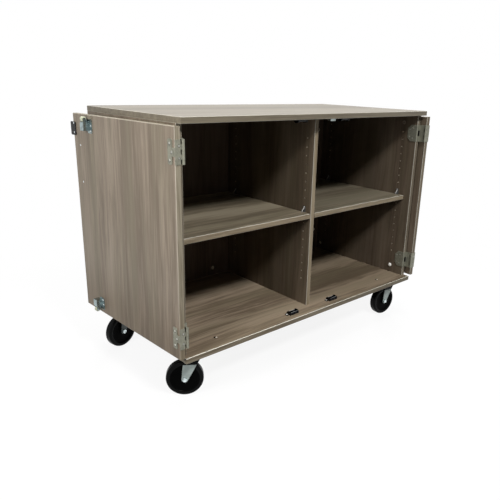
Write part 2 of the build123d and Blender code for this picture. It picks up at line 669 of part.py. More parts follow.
for spot, (x, y, trail_angle) in CASTER_SPOTS.items():
    swivel = Plane(origin=(x, y, 0), x_dir=(cos(radians(trail_angle)), sin(radians(trail_angle)), 0),
                   z_dir=(0, 0, 1))
    across = Plane(origin=swivel.from_local_coords((TRAIL, 0, WHEEL_RADIUS)),
                   x_dir=swivel.x_dir, z_dir=-swivel.y_dir)

    with BuildPart() as plate:
        with BuildSketch(Plane.XY.offset(BOTTOM)):
            with Locations((x, y)):
                chamfer(Rectangle(PLATE_LONG, PLATE_WIDE).vertices(), length=PLATE_CORNER)
                with GridLocations(BOLT_LONG, BOLT_WIDE, 2, 2):
                    RegularPolygon(BOLT_RADIUS, BORE_SIDES, mode=Mode.SUBTRACT)
        extrude(amount=-PLATE_THICK)
        with BuildSketch(swivel.offset(BOTTOM - PLATE_THICK)):
            Circle(RACE_RADIUS)
        extrude(amount=-RACE_HIGH)
        with BuildSketch(swivel.offset(crown_top + RACE_GAP)):
            RegularPolygon(KINGPIN, PIN_SIDES)
        extrude(amount=-(CROWN_THICK + 2 * RACE_GAP + KINGPIN_HEAD_THICK))
        with BuildSketch(swivel.offset(crown_low - RACE_GAP)):
            RegularPolygon(KINGPIN_HEAD, PIN_SIDES)
        extrude(amount=-KINGPIN_HEAD_THICK)
    write(plate.part, f"{spot}_caster_plate")

    with BuildPart() as fork:
        with BuildSketch(swivel.offset(crown_low)):
            chamfer(Rectangle(CROWN_LONG, 2 * leg_outside).vertices(), length=CORNER)
            RegularPolygon(KINGPIN + RUNNING_FIT, PIN_SIDES, major_radius=False, mode=Mode.SUBTRACT)
        extrude(amount=CROWN_THICK)
        for hand in (1, -1):
            with BuildSketch(across.offset(hand * leg_inside)):
                Circle(LEG_END)
                with Locations((-TRAIL, crown_low - WHEEL_RADIUS)):
                    Rectangle(CROWN_LONG - 2 * CORNER, CROWN_THICK)
                make_hull()
                Circle(AXLE, mode=Mode.SUBTRACT)
            extrude(amount=hand * LEG_THICK)
    write(fork.part, f"{spot}_caster_fork")

    with BuildPart() as wheel:
        profile = Plane(origin=across.origin, x_dir=(0, 0, 1), z_dir=swivel.x_dir)
        half_wide = WHEEL_WIDTH / 2
        half_hub = leg_inside - HUB_GAP
        with BuildSketch(profile):
            with BuildLine():
                Polyline((HUB_BORE, 0), (HUB_BORE, half_hub), (HUB_RADIUS, half_hub),
                         (HUB_RADIUS, half_wide - DISC_DEPTH), (RIM_RADIUS, half_wide - DISC_DEPTH),
                         (RIM_RADIUS, half_wide), (WHEEL_RADIUS - TREAD_EASE, half_wide),
                         (WHEEL_RADIUS, half_wide - TREAD_EASE), (WHEEL_RADIUS, 0))
                mirror(about=Plane.XZ)
            make_face()
        revolve(axis=Axis(across.origin, across.z_dir))
    write(wheel.part, f"{spot}_caster_wheel")

    with BuildPart() as axle:
        rod(across, AXLE, 2 * leg_outside)
        for hand in (1, -1):
            with BuildSketch(across.offset(hand * leg_outside)):
                RegularPolygon(HEX_RADIUS, HEX_SIDES)
            extrude(amount=hand * HEX_THICK)
    write(axle.part, f"{spot}_caster_axle")

with BuildPart() as caster_bolts:
    with BuildSketch(Plane.XY.offset(BOTTOM - PLATE_THICK)):
        with Locations([spot[:2] for spot in CASTER_SPOTS.values()]):
            with GridLocations(BOLT_LONG, BOLT_WIDE, 2, 2):
                RegularPolygon(BOLT_RADIUS, BORE_SIDES)
    extrude(amount=PLATE_THICK + BOLT_BITE)
    with BuildSketch(Plane.XY.offset(BOTTOM - PLATE_THICK)):
        with Locations([spot[:2] for spot in CASTER_SPOTS.values()]):
            with GridLocations(BOLT_LONG, BOLT_WIDE, 2, 2):
                RegularPolygon(BOLT_HEAD, HEX_SIDES)
    extrude(amount=-BOLT_HEAD_THICK)
write(caster_bolts.part, "caster_bolts")
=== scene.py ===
"""Looks of the tray storage cart: wood-grain laminate, steel fittings, casters, studio and camera."""
import json
import math
from collections import namedtuple
import bmesh
import bpy
from bpy.props import FloatProperty, FloatVectorProperty, PointerProperty
from bpy.types import Operator, Panel, PropertyGroup
from mathutils import Matrix, Vector


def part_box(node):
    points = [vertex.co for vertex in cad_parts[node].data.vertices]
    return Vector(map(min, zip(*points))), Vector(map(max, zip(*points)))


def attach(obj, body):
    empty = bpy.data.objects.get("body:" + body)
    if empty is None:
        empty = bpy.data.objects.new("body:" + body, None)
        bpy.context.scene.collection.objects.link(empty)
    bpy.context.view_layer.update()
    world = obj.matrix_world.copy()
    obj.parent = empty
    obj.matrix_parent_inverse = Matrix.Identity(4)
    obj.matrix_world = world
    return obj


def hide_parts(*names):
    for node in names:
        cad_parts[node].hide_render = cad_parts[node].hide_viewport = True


bl_info = {
    "name": "Tray Storage Cart Finish",
    "version": (1, 0, 0),
    "blender": (4, 5, 0),
    "location": "3D View > Sidebar > Cart",
    "description": "Finishes, fixings and studio for a mobile tray storage cabinet",
    "category": "Object",
}

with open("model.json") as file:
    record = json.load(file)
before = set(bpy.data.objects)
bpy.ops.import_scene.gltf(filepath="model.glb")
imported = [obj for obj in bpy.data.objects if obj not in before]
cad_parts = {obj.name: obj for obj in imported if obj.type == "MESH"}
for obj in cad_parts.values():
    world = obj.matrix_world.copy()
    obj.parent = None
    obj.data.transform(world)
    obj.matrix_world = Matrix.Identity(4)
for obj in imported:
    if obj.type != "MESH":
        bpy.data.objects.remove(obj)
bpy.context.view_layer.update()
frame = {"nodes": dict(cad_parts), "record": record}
RECORD = frame["record"]
JOINTS = {joint["name"]: joint for joint in RECORD["behaviour"]["joints"]}
MM = 0.001

# Which way along x each side faces inwards, and which way along z each level lies from the middle
HANDS = {"left": 1, "right": -1}
PLACES = {"upper": 1, "lower": -1}
SPOTS = ("front_left", "front_right", "rear_left", "rear_right")


def low(node):
    """Lowest corner of a node."""
    return Vector(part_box(node)[0])


def high(node):
    """Highest corner of a node."""
    return Vector(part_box(node)[1])


def middle_height(node):
    """Height of a node's middle."""
    return (low(node).z + high(node).z) / 2


# Faces of the case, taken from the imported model, and the bays' walls with the way that each one faces
BOTTOM = low("bottom_panel").z
FLOOR = high("bottom_panel").z
CEILING = low("top_panel").z
FRONT = low("bottom_panel").y
BACK_WALL = low("back_panel").y
INNER_X = low("right_side_panel").x
DIVIDER_X = high("centre_divider").x
BAY_WALLS = ((-INNER_X, 1), (-DIVIDER_X, -1), (DIVIDER_X, 1), (INNER_X, -1))
SHELF_LOW = low("left_shelf").z
SHELF_HIGH = high("left_shelf").z

# Rows of shelf-pin bores
BORE = next(mount for mount in RECORD["mounts"] if mount["name"] == "shelf_pin_bore")
PIN_PITCH = 32 * MM
PIN_ROWS = 18
ROUND_ROW = 12
FIRST_PIN = BORE["pos_m"][2] - ROUND_ROW * PIN_PITCH
ROW_FRONT = BORE["pos_m"][1]
ROW_REAR = BACK_WALL - 54 * MM

# A folded door, seen from its pivot: its outer and inner faces, its hinge leaves, and the middle of its pull
DOOR_FACE = 7 * MM
DOOR_INNER = DOOR_FACE + 19.05 * MM
LEAF = 2.4 * MM
PULL_ALONG = 563 * MM
PULL_MIDDLE = BOTTOM + 567 * MM
PULL_SPAN = 128 * MM


def look_along(origin, forward, up=(0, 0, 1)):
    """Frame with z along a direction and x as near to another as it can be."""
    z_axis = Vector(forward).normalized()
    x_axis = (Vector(up) - Vector(up).dot(z_axis) * z_axis).normalized()
    y_axis = z_axis.cross(x_axis)
    made = Matrix((x_axis, y_axis, z_axis)).transposed().to_4x4()
    made.translation = Vector(origin)
    return made


def door_axes(side):
    """Pivot, direction to the free edge and direction out of the inner face of a folded door."""
    joint = JOINTS[f"{side}_door_hinge"]
    fold = -math.radians(max(abs(value) for value in joint["range_deg"]))
    hand = HANDS[side]
    along = Vector((hand * math.cos(fold), math.sin(fold), 0))
    out = Vector((-math.sin(fold), hand * math.cos(fold), 0)) * hand
    pivot = Vector(joint["pos_m"])
    pivot.z = 0
    return pivot, along, out


def on_door(side, along, depth, height):
    """Frame on a folded door with z out of its inner face and x up."""
    pivot, direction, out = door_axes(side)
    return look_along(pivot + direction * along + out * depth + Vector((0, 0, height)), out)


def catch_along(side):
    """Distance from a door's pivot to the middle of its roller catches."""
    pivot, direction = door_axes(side)[:2]
    return (Vector(JOINTS[f"{side}_upper_roller_spin"]["pos_m"]) - pivot).dot(direction)


def metres(*pairs):
    """Pairs of millimetres, as metres."""
    return [(first * MM, second * MM) for first, second in pairs]


# Mesh makers
def ring(bm, place, radius, height, segments):
    """Circle of points round the z axis of a place."""
    points = []
    for step in range(segments):
        angle = 2 * math.pi * step / segments
        point = Vector((radius * math.cos(angle), radius * math.sin(angle), height))
        points.append(bm.verts.new(place @ point))
    return points


def skin(bm, first, second):
    """Faces between two rings; a ring may be one point, given once for each segment."""
    for step in range(len(first)):
        following = (step + 1) % len(first)
        corners = list(dict.fromkeys((first[step], first[following], second[following], second[step])))
        if len(corners) > 2:
            bm.faces.new(corners)


def lathe(bm, place, profile, segments=32, closed=False):
    """Turn a profile of (radius, height) pairs round the z axis of a place."""
    rings = []
    for radius, height in profile:
        if radius:
            rings.append(ring(bm, place, radius, height, segments))
        else:
            rings.append([bm.verts.new(place @ Vector((0, 0, height)))] * segments)
    for first, second in zip(rings, rings[1:]):
        skin(bm, first, second)
    if closed:
        skin(bm, rings[-1], rings[0])


def pan_head(bm, place, radius, height, rings=8, segments=32):
    """Domed screw head with a cross recess, standing on the place's xy plane."""
    recess, arm, sunk, dome = 0.62 * radius, 0.15 * radius, 0.35 * height, 0.8
    inner = [bm.verts.new(place @ Vector((0, 0, sunk)))] * segments
    for number in range(1, rings + 1):
        reach = radius * number / rings
        row = []
        for step in range(segments):
            angle = 2 * math.pi * step / segments
            x, y = reach * math.cos(angle), reach * math.sin(angle)
            level = height * math.sqrt(1 - dome * (reach / radius) ** 2)
            if reach < recess and min(abs(x), abs(y)) < arm:
                level = sunk
            row.append(bm.verts.new(place @ Vector((x, y, level))))
        skin(bm, inner, row)
        inner = row
    skirt = ring(bm, place, radius, 0, segments)
    skin(bm, inner, skirt)
    bm.faces.new(skirt)


def prism(bm, place, outline, height):
    """Closed solid with an outline in the place's xy plane, as high as its z axis says."""
    bottom = [bm.verts.new(place @ Vector((x, y, 0))) for x, y in outline]
    top = [bm.verts.new(place @ Vector((x, y, height))) for x, y in outline]
    bm.faces.new(bottom[::-1])
    bm.faces.new(top)
    skin(bm, bottom, top)


def tube(bm, points, radius, sides=20):
    """Round bar along points, closed at both ends."""
    aside = (points[1] - points[0]).orthogonal()
    rings = []
    for before, point, after in zip([points[0], *points], points, [*points[1:], points[-1]]):
        place = look_along(point, after - before, aside)
        aside = place.col[0].to_3d()
        rings.append(ring(bm, place, radius, 0, sides))
    for first, second in zip(rings, rings[1:]):
        skin(bm, first, second)
    bm.faces.new(rings[0][::-1])
    bm.faces.new(rings[-1])


def paint(bm, first, index):
    """Give the faces from a number on another of the piece's materials."""
    bm.faces.ensure_lookup_table()
    for face in bm.faces[first:]:
        face.material_index = index


def place_mesh(name, bm, materials):
    """Make an object of a finished mesh."""
    mesh = bpy.data.meshes.new(name)
    bm.to_mesh(mesh)
    bm.free()
    for material in materials:
        mesh.materials.append(material)
    made = bpy.data.objects.new(name, mesh)
    bpy.context.scene.collection.objects.link(made)
    return made


def piece(name, bm, body, materials, sharp=35.0):
    """Make one object of a mesh, ride it on a body and give it its finish."""
    bmesh.ops.recalc_face_normals(bm, faces=bm.faces)
    made = place_mesh(name, bm, materials)
    made.data.shade_smooth()
    made.data.set_sharp_from_angle(angle=math.radians(sharp))
    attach(made, body)
    return made


def coat(material, *nodes):
    """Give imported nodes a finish."""
    for node in nodes:
        shown = frame["nodes"][node]
        if shown.material_slots:
            shown.material_slots[0].material = material
        else:
            shown.data.materials.append(material)


# Material makers
class Tree:
    """The shader nodes of one material or world, added one by one."""

    def __init__(self, owner, bare=False):
        owner.use_nodes = True
        self.tree = owner.node_tree
        if bare:
            self.tree.nodes.clear()

    def connect(self, socket, value):
        """Link a socket to another one, or set its number, colour or vector."""
        if isinstance(value, bpy.types.NodeSocket):
            self.tree.links.new(value, socket)
        else:
            socket.default_value = value

    def add(self, kind, inputs=None, **settings):
        """Add a node; inputs may be numbers or the sockets of other nodes."""
        made = self.tree.nodes.new(kind)
        for key, value in settings.items():
            setattr(made, key, value)
        for key, value in (inputs or {}).items():
            self.connect(made.inputs[key], value)
        return made

    def math(self, operation, *values):
        """One arithmetic step."""
        return self.add("ShaderNodeMath", dict(enumerate(values)), operation=operation).outputs[0]

    def vector(self, operation, *values):
        """One step of vector arithmetic."""
        return self.add("ShaderNodeVectorMath", dict(enumerate(values)), operation=operation)

    def span(self, value, low_in, high_in, low_out=0.0, high_out=1.0):
        """Map one range of values onto another, clamped and smooth."""
        made = self.add("ShaderNodeMapRange", {"Value": value, "From Min": low_in, "From Max": high_in,
                                               "To Min": low_out, "To Max": high_out},
                        interpolation_type="SMOOTHSTEP")
        return made.outputs["Result"]

    def rays(self, *kinds):
        """1 for rays of these kinds, such as Camera, and 0 for others."""
        path = self.add("ShaderNodeLightPath")
        found = path.outputs[f"Is {kinds[0]} Ray"]
        for kind in kinds[1:]:
            found = self.math("MAXIMUM", found, path.outputs[f"Is {kind} Ray"])
        return found

    def choose(self, amount, first, second):
        """Mix two shaders."""
        return self.add("ShaderNodeMixShader", {0: amount, 1: first, 2: second}).outputs[0]


class Finish(Tree):
    """One procedural material round a Principled shader."""

    def __init__(self, name):
        self.material = bpy.data.materials.new(name)
        super().__init__(self.material)
        self.shader = self.tree.nodes["Principled BSDF"]
        self.place = self.add("ShaderNodeTexCoord")
        self.spot = self.place.outputs["Object"]

    def part(self, output, axis):
        """One axis of the object coordinates or of the normal."""
        return self.add("ShaderNodeSeparateXYZ", {"Vector": self.place.outputs[output]}).outputs[axis]

    def stretched(self, scale, offset=(0, 0, 0), vector=None):
        """Object coordinates, or another vector, stretched along an axis and shifted."""
        mapped = self.add("ShaderNodeMapping", {"Vector": vector or self.spot, "Scale": scale,
                                                "Location": offset})
        return mapped.outputs["Vector"]

    def noise(self, vector, scale, detail=2.0, roughness=0.5, distortion=0.0):
        """Soft noise between 0 and 1."""
        made = self.add("ShaderNodeTexNoise", {"Vector": vector, "Scale": scale, "Detail": detail,
                                               "Roughness": roughness, "Distortion": distortion})
        return made.outputs["Fac"]

    def weighted(self, *pairs):
        """Sum of values, each times its weight."""
        total = 0.0
        for value, weight in pairs:
            total = self.math("MULTIPLY_ADD", value, weight, total)
        return total

    def ramp(self, value, *colours):
        """Colour along evenly spaced stops."""
        made = self.add("ShaderNodeValToRGB", {"Fac": value})
        elements = made.color_ramp.elements
        elements[0].color = (*colours[0], 1)
        elements[1].color = (*colours[-1], 1)
        for step, colour in enumerate(colours[1:-1], 1):
            elements.new(step / (len(colours) - 1)).color = (*colour, 1)
        return made.outputs["Color"]

    def mix(self, amount, first, second):
        """Mix two colours."""
        made = self.add("ShaderNodeMix", {"Factor": amount}, data_type="RGBA")
        for key, value in (("A", first), ("B", second)):
            socket = next(item for item in made.inputs if item.name == key and item.type == "RGBA")
            self.connect(socket, value if isinstance(value, bpy.types.NodeSocket) else (*value, 1))
        return next(item for item in made.outputs if item.type == "RGBA")

    def feed(self, **sockets):
        """Connect sockets to the shader, or set its numbers."""
        names = {"colour": "Base Color", "roughness": "Roughness", "metallic": "Metallic",
                 "specular": "Specular IOR Level"}
        for key, value in sockets.items():
            self.connect(self.shader.inputs[names[key]], value)

    def bump(self, height, strength, distance):
        """Fine relief on the surface."""
        made = self.add("ShaderNodeBump", {"Height": height, "Strength": strength, "Distance": distance})
        self.connect(self.shader.inputs["Normal"], made.outputs["Normal"])


def tinted(colour, tint):
    """Colour times a tint."""
    return tuple(channel * share for channel, share in zip(colour, tint))


def grain_noises(made, board, seed):
    """Streaks, fibres and patches of tint along the grain, and the tone that they make with arched figure."""
    shift = (seed * 1.7, seed * 2.3, seed * 3.1)
    sway = 0.05

    def along_grain(stretch, aside=1.0, vector=None):
        """Coordinates squeezed along the grain, so that noise in them is drawn out into lines."""
        scale = [aside] * 3
        scale[board.grain] = stretch
        return made.stretched(scale, shift, vector)

    wander = made.noise(along_grain(0.25, 0.7), 5.0, 1.0)
    place = made.vector("ADD", made.spot, made.math("MULTIPLY_ADD", wander, sway, -sway / 2)).outputs[0]
    slow = along_grain(0.05, vector=place)
    broad = made.noise(slow, 8.0, 1.0)
    streak = made.noise(slow, 62.0, 4.0, 0.65, 0.4)
    fibre = made.noise(along_grain(0.014, vector=place), 330.0, 2.0, 0.6)
    tint = made.noise(slow, 19.0, 2.0, 0.5, 0.3)
    figure = made.noise(along_grain(0.16, vector=place), 4.5, 0.5)
    rings = made.math("SINE", made.math("MULTIPLY", figure, 150.0))
    arched = made.math("MULTIPLY", rings, made.span(made.noise(slow, 5.0, 0.0), 0.5, 0.62))
    blend = made.weighted((broad, 0.46), (streak, 0.36), (fibre, 0.18), (arched, 0.014))
    half_span = 0.135 / board.contrast
    return streak, fibre, tint, made.span(blend, 0.5 - half_span, 0.5 + half_span)


def laminate(name, board, seed, look, front):
    """Wood-grain laminate: streaks, arched figure and fibres along one axis, and edge bands.

    The eased arrises carry a painted highlight, and so does a pale lip on the face beside the front band;
    some boards also get a ramp of painted shade."""
    made = Finish(name)
    streak, fibre, tint, tone = grain_noises(made, board, seed)
    warm = made.ramp(tone, *(tinted(colour, board.tone) for colour in (look.dark, look.middle, look.light)))
    cool = made.mix(0.5, warm, tinted(look.cool, board.tone))
    base = made.mix(made.span(tint, 0.45, 0.65, 0.0, 0.7), warm, cool)
    facing = made.math("ABSOLUTE", made.part("Normal", board.face))
    band_tone = made.span(made.weighted((streak, 0.6), (fibre, 0.4)), 0.38, 0.62)
    band = made.ramp(band_tone, tinted(look.band_dark, board.edge), tinted(look.band_light, board.edge))
    colour = made.mix(made.span(facing, 0.25, 0.6, 1.0, 0.0), base, band)
    # Painted highlight: a pale line on the eased corners between face and edge, and a pale lip on the face
    # next to the front band
    arris_highlight = made.math("MULTIPLY", made.span(facing, 0.3, 0.5), made.span(facing, 0.9, 0.985, 1.0, 0.0))
    beside = made.span(made.part("Object", 1), front + 2.4 * MM, front + 3.4 * MM, board.lip, 0.0)
    lip = made.math("MULTIPLY", made.span(facing, 0.6, 0.9), beside)
    line = made.math("MAXIMUM", made.math("MULTIPLY", arris_highlight, board.line), lip)
    colour = made.mix(made.math("MULTIPLY", line, look.arris_highlight_strength), colour, look.arris_highlight)
    # Painted shade: a board with a ramp darkens along one axis
    if board.drift:
        axis, start, end, shade = board.drift
        share = made.span(made.part("Object", axis), start, end)
        colour = made.vector("MULTIPLY", colour, made.mix(share, (1, 1, 1), shade)).outputs[0]
    rough = made.span(fibre, 0.3, 0.7, look.roughness - 0.05, look.roughness + 0.07)
    made.feed(colour=colour, roughness=rough, specular=board.gloss)
    made.bump(fibre, 0.12, 0.0002)
    return made.material


def metal(name, colour, roughness, patch=60.0, grain=(1, 1, 1), metallic=1.0, cloudy=0.2, painted_shade_height=None):
    """Plated or satin metal with cloudy patches and fine rolling marks, and painted shade, near black, above
    a given height.
    """
    made = Finish(name)
    cloud = made.noise(made.spot, patch, 3.0, 0.6)
    marks = made.noise(made.stretched(grain), 900.0, 2.0, 0.6)
    tone = made.mix(made.span(cloud, 0.35, 0.65), tinted(colour, (1 - cloudy,) * 3), colour)
    # Painted shade: above the given height the metal fades to near black, standing in for the shadow under
    # the caster plate
    if painted_shade_height is not None:
        fade = 1.5 * MM
        height = made.part("Object", 2)
        tone = made.mix(made.span(height, painted_shade_height - fade, painted_shade_height + fade), tone, (0.006, 0.006, 0.006))
        metallic = made.span(height, painted_shade_height - fade, painted_shade_height + fade, metallic, 1.0)
    rough = made.span(cloud, 0.3, 0.7, roughness + 0.08, roughness - 0.05)
    made.feed(colour=tone, roughness=rough, metallic=metallic)
    made.bump(marks, 0.12, 0.0001)
    return made.material


def plastic(name, colour, roughness, mottle=0.12, patch=80.0, pit=0.1, gloss=0.3):
    """Moulded plastic or rubber with slight mottling and a fine surface texture."""
    made = Finish(name)
    cloud = made.noise(made.spot, patch, 3.0, 0.6)
    pits = made.noise(made.spot, 1600.0)
    dim = tinted(colour, (1 - mottle,) * 3)
    rise = tuple(min(1.0, channel * (1 + mottle)) for channel in colour)
    rough = made.span(cloud, 0.3, 0.7, roughness - 0.04, roughness + 0.06)
    made.feed(colour=made.mix(cloud, dim, rise), roughness=rough, specular=gloss)
    made.bump(pits, pit, 0.0001)
    return made.material


# What a user would change
class CartLaminateSettings(PropertyGroup):
    """Colours and gloss of the boards."""
    dark: FloatVectorProperty(name="Dark streak", description="Darkest grain colour", subtype="COLOR",
                              default=(0.135, 0.108, 0.083))
    middle: FloatVectorProperty(name="Middle tone", description="Main laminate colour", subtype="COLOR",
                                default=(0.215, 0.175, 0.139))
    light: FloatVectorProperty(name="Light streak", description="Palest grain colour", subtype="COLOR",
                               default=(0.285, 0.238, 0.194))
    cool: FloatVectorProperty(name="Cool tint", description="Greener tint of some streaks", subtype="COLOR",
                              default=(0.205, 0.185, 0.135))
    band_dark: FloatVectorProperty(name="Band dark", description="Dark streak of the edge band",
                                   subtype="COLOR", default=(0.175, 0.142, 0.101))
    band_light: FloatVectorProperty(name="Band light", description="Pale streak of the edge band",
                                    subtype="COLOR", default=(0.29, 0.25, 0.19))
    # The arris colour and its strength make the painted highlight along the eased corners
    arris_highlight: FloatVectorProperty(name="Arris", description="Colour of the eased corners of the bands",
                               subtype="COLOR", default=(0.66, 0.64, 0.56))
    arris_highlight_strength: FloatProperty(name="Arris strength", description="How clear the pale corner line is",
                                  default=1.0, min=0.0, max=1.0, subtype="FACTOR")
    roughness: FloatProperty(name="Roughness", description="Middle roughness of the laminate",
                             default=0.4, min=0.0, max=1.0, subtype="FACTOR")


class CartFittingSettings(PropertyGroup):
    """Colours of the fittings."""
    hinge: FloatVectorProperty(name="Hinge steel", description="Satin hinge colour", subtype="COLOR",
                               default=(0.265, 0.262, 0.205))
    zinc: FloatVectorProperty(name="Zinc", description="Zinc plate colour", subtype="COLOR",
                              default=(0.36, 0.41, 0.40))
    nickel: FloatVectorProperty(name="Nickel", description="Satin nickel colour", subtype="COLOR",
                                default=(0.50, 0.48, 0.45))
    black: FloatVectorProperty(name="Black plastic", description="Gloss black plastic", subtype="COLOR",
                               default=(0.0018, 0.0018, 0.0020))
    nylon: FloatVectorProperty(name="Nylon", description="Cream nylon of the rollers", subtype="COLOR",
                               default=(0.46, 0.47, 0.35))
    clip: FloatVectorProperty(name="Clip", description="Smoky clear plastic of the shelf clips",
                              subtype="COLOR", default=(0.078, 0.080, 0.082))
    tread: FloatVectorProperty(name="Tread", description="Hard rubber of the wheels", subtype="COLOR",
                               default=(0.0025, 0.0027, 0.0026))


class CartStudioSettings(PropertyGroup):
    """Light levels, where 1 lights a facing surface so that its colour renders as written."""
    key: FloatProperty(name="Key", default=0.80, min=0.0, max=4.0,
                       description="Small light from the front, high enough to shade under the shelves")
    side: FloatProperty(name="Side", description="Near light on the left door", default=1.3, min=0.0, max=4.0)
    top: FloatProperty(name="Top", description="Soft light from above", default=0.84, min=0.0, max=4.0)
    rear: FloatProperty(name="Rear", description="Low soft light from behind on the right, clear of the view",
                        default=0.7, min=0.0, max=4.0)
    fill: FloatProperty(name="Fill", description="Even light from all round", default=0.02, min=0.0, max=1.0)


# Each board: the axis of its grain and the one square to its face, as 0, 1 or 2 for x, y or z; the contrast
# of its streaks; its gloss; how clear the painted highlights of its corner lines and its lip are; the tints
# of its face and edge bands, fitted board by board so that they also paint light and shade (the inner boards
# darker, the floor and the left door lighter); and a ramp of painted shade on some
Board = namedtuple("Board", "grain face contrast gloss line lip tone edge drift", defaults=(None,))
# Painted shade along an axis of a board, from a start to an end in metres, up to a tint: the floor darkens
# towards the right bay and the left door towards its foot, as light falls off
Drift = namedtuple("Drift", "axis start end shade")
BOARDS = {
    "top_panel": Board(0, 2, 0.6, 0.5, 0.55, 0.0, (0.88, 0.92, 0.88), (0.58, 0.57, 0.51)),
    "bottom_panel": Board(0, 2, 2.1, 0.15, 1.0, 1.0, (1.23, 1.16, 1.02), (0.85, 0.84, 0.80),
                          Drift(0, -0.05, 0.22, (0.78, 0.78, 0.76))),
    "left_shelf": Board(0, 2, 1.7, 0.15, 0.75, 0.35, (1.08, 1.11, 0.98), (1.18, 1.13, 1.04)),
    "right_shelf": Board(0, 2, 1.7, 0.15, 0.75, 0.35, (0.81, 0.84, 0.75), (1.10, 1.06, 0.97)),
    "left_side_panel": Board(2, 0, 0.9, 0.15, 0.6, 0.0, (0.85, 0.82, 0.75), (0.75, 0.75, 0.72)),
    "right_side_panel": Board(2, 0, 1.0, 0.15, 0.6, 0.2, (0.52, 0.48, 0.43), (0.75, 0.75, 0.75)),
    "centre_divider": Board(2, 0, 1.0, 0.15, 0.6, 0.15, (0.58, 0.54, 0.47), (1.10, 1.05, 0.95)),
    "back_panel": Board(2, 1, 0.9, 0.12, 0.3, 0.0, (0.54, 0.48, 0.45), (0.75, 0.72, 0.70)),
    "left_door": Board(2, 0, 1.1, 0.2, 0.25, 0.2, (1.12, 1.12, 1.08), (1.15, 1.18, 1.16),
                       Drift(2, 0.42, 0.20, (0.76, 0.71, 0.65))),
    "right_door": Board(2, 0, 0.9, 0.15, 0.6, 0.4, (0.70, 0.66, 0.60), (0.75, 0.72, 0.68)),
}


class CART_OT_boards(Operator):
    """Give every board its wood-grain laminate"""
    bl_idname = "cart.boards"
    bl_label = "Boards"

    def execute(self, context):
        look = context.scene.cart_laminate
        for seed, (node, board) in enumerate(BOARDS.items(), 1):
            coat(laminate(f"laminate_{node}", board, seed, look, low(node).y), node)
        return {"FINISHED"}


class CART_OT_shelf_fittings(Operator):
    """Line the shelf-pin bores with raw board and make the shelf clips"""
    bl_idname = "cart.shelf_fittings"
    bl_label = "Shelf fittings"

    def execute(self, context):
        self.make_linings()
        self.make_clips(context.scene.cart_fittings)
        return {"FINISHED"}

    def make_linings(self):
        """Thin sleeve in every bore, with a lip round its mouth."""
        raw = plastic("raw_board", (0.42, 0.36, 0.27), 0.8, 0.3, 700.0)
        bore, lip, depth, proud = 2.42, 2.95, 8.8, 0.06
        profile = metres((lip, 0), (lip, proud), (bore, proud), (bore, -depth), (0, -depth))
        bm = bmesh.new()
        for x, way in BAY_WALLS:
            for y in (ROW_FRONT, ROW_REAR):
                for row in range(PIN_ROWS):
                    lathe(bm, look_along((x, y, FIRST_PIN + row * PIN_PITCH), (way, 0, 0)), profile, 12)
        piece("bore_linings", bm, "cabinet", [raw])

    def make_clips(self, look):
        """Clear plate with two bosses, a ledge under the shelf and a sprung finger leaning out above it."""
        clear = plastic("clip_clear", look.clip, 0.18, 0.2, 150.0, 0.05, 0.6)
        # The finger is a paler copy of the clip's smoky plastic: painted highlight for the light caught along
        # it
        finger_highlight = plastic("clip_finger_painted_highlight", tinted(look.clip, (5.6, 5.3, 4.9)), 0.2, 0.15, 150.0, 0.05, 0.8)
        half_wide, half_finger, plate, reach, wall = 6.5 * MM, 1.9 * MM, 1.5 * MM, 12.6 * MM, 1.3 * MM
        low_end, high_end, ledge = SHELF_LOW - 5.5 * MM, SHELF_HIGH + 24 * MM, SHELF_LOW - 0.1 * MM
        body = [(low_end, 0), (high_end, 0), (high_end, plate), (ledge, plate), (ledge, reach),
                (SHELF_LOW - 1.8 * MM, reach), (low_end, reach - 3 * MM)]
        root, tip, steps = SHELF_HIGH + 19 * MM, SHELF_HIGH + 1.2 * MM, 8
        outer = [(root - (root - tip) * step / steps,
                  plate + (reach - plate) * math.sin(math.pi / 2 * step / steps) ** 1.3)
                 for step in range(steps + 1)]
        inner = [(z - 0.5 * MM, max(plate, x - wall)) for z, x in reversed(outer[1:])]
        boss = metres((3.0, 0), (2.7, 0.5), (1.6, 0.6), (1.4, 0.1), (0, 0.1))
        low_pin = SHELF_HIGH - 11.55 * MM
        bm = bmesh.new()
        for x, way in BAY_WALLS:
            for y in (ROW_FRONT, ROW_REAR):
                section = Matrix(((0, way, 0, x), (0, 0, 1, y - half_wide), (1, 0, 0, 0), (0, 0, 0, 1)))
                prism(bm, section, body, 2 * half_wide)
                first = len(bm.faces)
                section.translation.y = y - half_finger
                prism(bm, section, outer + inner, 2 * half_finger)
                for z in (low_pin, low_pin + PIN_PITCH):
                    lathe(bm, look_along((x + way * plate, y, z), (way, 0, 0)), boss, 20)
                paint(bm, first, 1)
        made = piece("shelf_clip_set", bm, "cabinet", [clear, finger_highlight], 30)
        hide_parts("shelf_clips")


